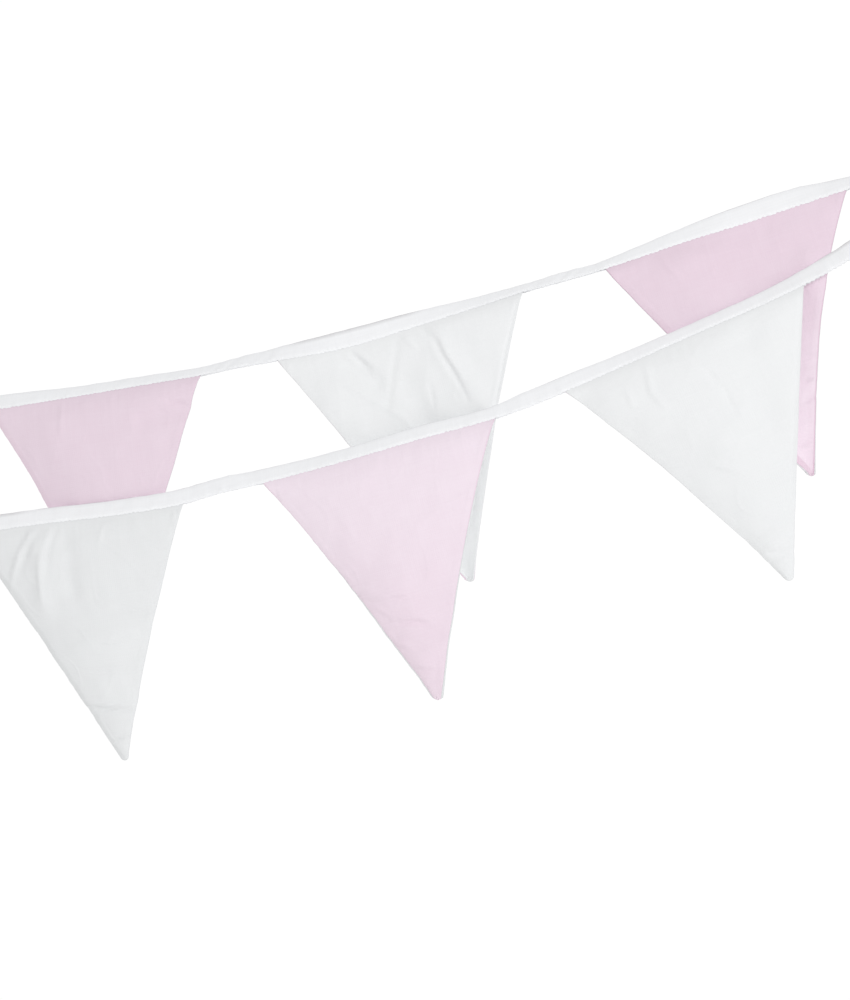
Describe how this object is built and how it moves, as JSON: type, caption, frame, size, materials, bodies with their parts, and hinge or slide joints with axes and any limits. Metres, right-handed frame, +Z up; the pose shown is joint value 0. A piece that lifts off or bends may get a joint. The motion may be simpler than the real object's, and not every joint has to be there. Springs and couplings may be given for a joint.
{
  "type": "bunting",
  "caption": "Fabric bunting: double-sided triangular cotton flags in pink and white, hung in two rows from one folded white binding tape.",
  "frame": {"origin": "top edge of the tape at the outside of its turn, where the string hangs from its hook", "axes": "+X along the rows towards the turn, +Y from the front row to the back row, +Z up"},
  "size_m": [0.9417, 0.0451, 0.5249],
  "materials": {
    "tape_cotton": "matt woven cotton binding, white",
    "white_cotton": "matt plain-woven cotton, white",
    "pink_cotton": "matt plain-woven cotton, pale pink"
  },
  "bodies": {
    "root": {"binding_tape": "tape_cotton", "front_left_face": "white_cotton", "front_left_backing": "pink_cotton", "front_middle_face": "pink_cotton", "front_middle_backing": "white_cotton", "front_right_face": "white_cotton", "front_right_backing": "pink_cotton", "back_left_face": "pink_cotton", "back_left_backing": "white_cotton", "back_middle_face": "white_cotton", "back_middle_backing": "pink_cotton", "back_right_face": "pink_cotton", "back_right_backing": "white_cotton"}
  },
  "joints": []
}
